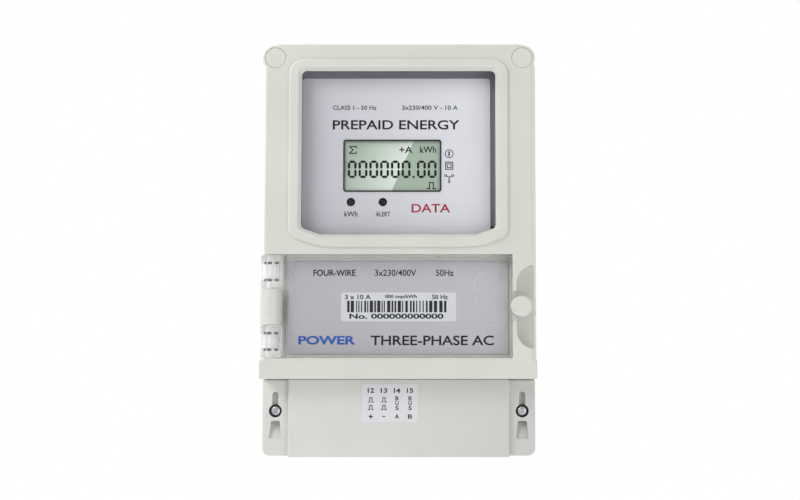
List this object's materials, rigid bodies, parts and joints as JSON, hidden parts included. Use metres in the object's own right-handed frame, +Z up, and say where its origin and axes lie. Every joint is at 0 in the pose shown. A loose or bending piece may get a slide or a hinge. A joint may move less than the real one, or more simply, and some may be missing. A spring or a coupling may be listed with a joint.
{
  "type": "electricity meter",
  "caption": "Wall-mounted three-phase prepaid electricity meter with display window, hinged clear door and screwed terminal cover.",
  "frame": {"origin": "centre of the flat back face, on the wall plane and halfway up the case", "axes": "+X to the right seen from the front, +Z up, the front faces -Y"},
  "size_m": [0.172, 0.075, 0.2538],
  "materials": {
    "case_plastic": "fine satin texture",
    "base_plastic": "fine satin texture",
    "cover_plastic": "fine satin texture",
    "clear_plastic": "polished, clear",
    "soft_rubber": "matte",
    "zinc_steel": "zinc plated",
    "brass": "machined",
    "copper": "rolled copper, bright",
    "faceplate_print": "screen printed, satin",
    "white_plastic": "moulded",
    "black_plastic": "moulded",
    "display_cell": "polarised glass cell, pale green",
    "lamp_red": "tinted epoxy, unlit",
    "board_laminate": "solder mask",
    "chip_resin": "moulded resin",
    "can_aluminium": "sleeved can",
    "battery_sleeve": "shrink sleeve",
    "core_steel": "varnished laminations",
    "coil_tape": "polyester tape",
    "ring_resin": "moulded resin",
    "relay_plastic": "moulded",
    "block_resin": "phenolic moulding",
    "paper_label": "gloss coated"
  },
  "bodies": {
    "case": {"rear_base": "base_plastic", "front_cover": "case_plastic", "case_gasket": "soft_rubber", "window_pane": "clear_plastic", "seal_plugs": "case_plastic", "case_screws": "zinc_steel", "case_inserts": "brass", "hanger_plate": "zinc_steel", "hanger_rivets": "zinc_steel", "faceplate": "faceplate_print", "display_frame": "white_plastic", "display_bezel": "black_plastic", "lcd_glass": "display_cell", "lcd_backlight": "white_plastic", "main_board": "board_laminate", "display_board": "board_laminate", "board_spacers": "brass", "board_screws": "zinc_steel", "board_connector": "black_plastic", "optocouplers": "chip_resin", "storage_capacitors": "can_aluminium", "backup_battery": "battery_sleeve", "power_transformer": "core_steel", "transformer_coil": "coil_tape", "neutral_busbar": "copper", "terminal_block": "block_resin", "main_terminals": "brass", "main_terminal_screws": "zinc_steel", "aux_terminals": "brass", "aux_terminal_screws": "zinc_steel", "terminal_block_screws": "zinc_steel", "cover_inserts": "brass", "rating_plate": "faceplate_print", "barcode_label": "paper_label", "hinge_pin": "case_plastic", "power_lamp": "lamp_red", "alarm_lamp": "lamp_red", "processor_chip": "chip_resin", "metering_chip": "chip_resin", "latching_relay_1": "relay_plastic", "current_transformer_1": "ring_resin", "supply_busbar_1": "copper", "load_busbar_1": "copper", "latching_relay_2": "relay_plastic", "current_transformer_2": "ring_resin", "supply_busbar_2": "copper", "load_busbar_2": "copper", "latching_relay_3": "relay_plastic", "current_transformer_3": "ring_resin", "supply_busbar_3": "copper", "load_busbar_3": "copper"},
    "door": {"clear_door": "clear_plastic", "door_seal_cap": "case_plastic"},
    "terminal_cover": {"terminal_cover": "cover_plastic", "terminal_label": "paper_label"},
    "cover_screw_left": {"cover_screw_left": "zinc_steel"},
    "cover_screw_right": {"cover_screw_right": "zinc_steel"}
  },
  "joints": [
    {"name": "door_hinge", "type": "hinge", "parent": "case", "child": "door", "pos_m": [-0.0778, -0.0662, -0.0332], "axis": [0, 0, -1], "range_deg": [0, 110]},
    {"name": "terminal_cover_slide", "type": "slide", "parent": "case", "child": "terminal_cover", "axis": [0, -1, 0], "range_m": [0, 0.06]},
    {"name": "cover_screw_left_turn", "type": "hinge", "parent": "terminal_cover", "child": "cover_screw_left", "pos_m": [-0.076, -0.045, -0.0974], "axis": [0, -1, 0], "continuous": true},
    {"name": "cover_screw_right_turn", "type": "hinge", "parent": "terminal_cover", "child": "cover_screw_right", "pos_m": [0.076, -0.045, -0.0974], "axis": [0, -1, 0], "continuous": true}
  ]
}
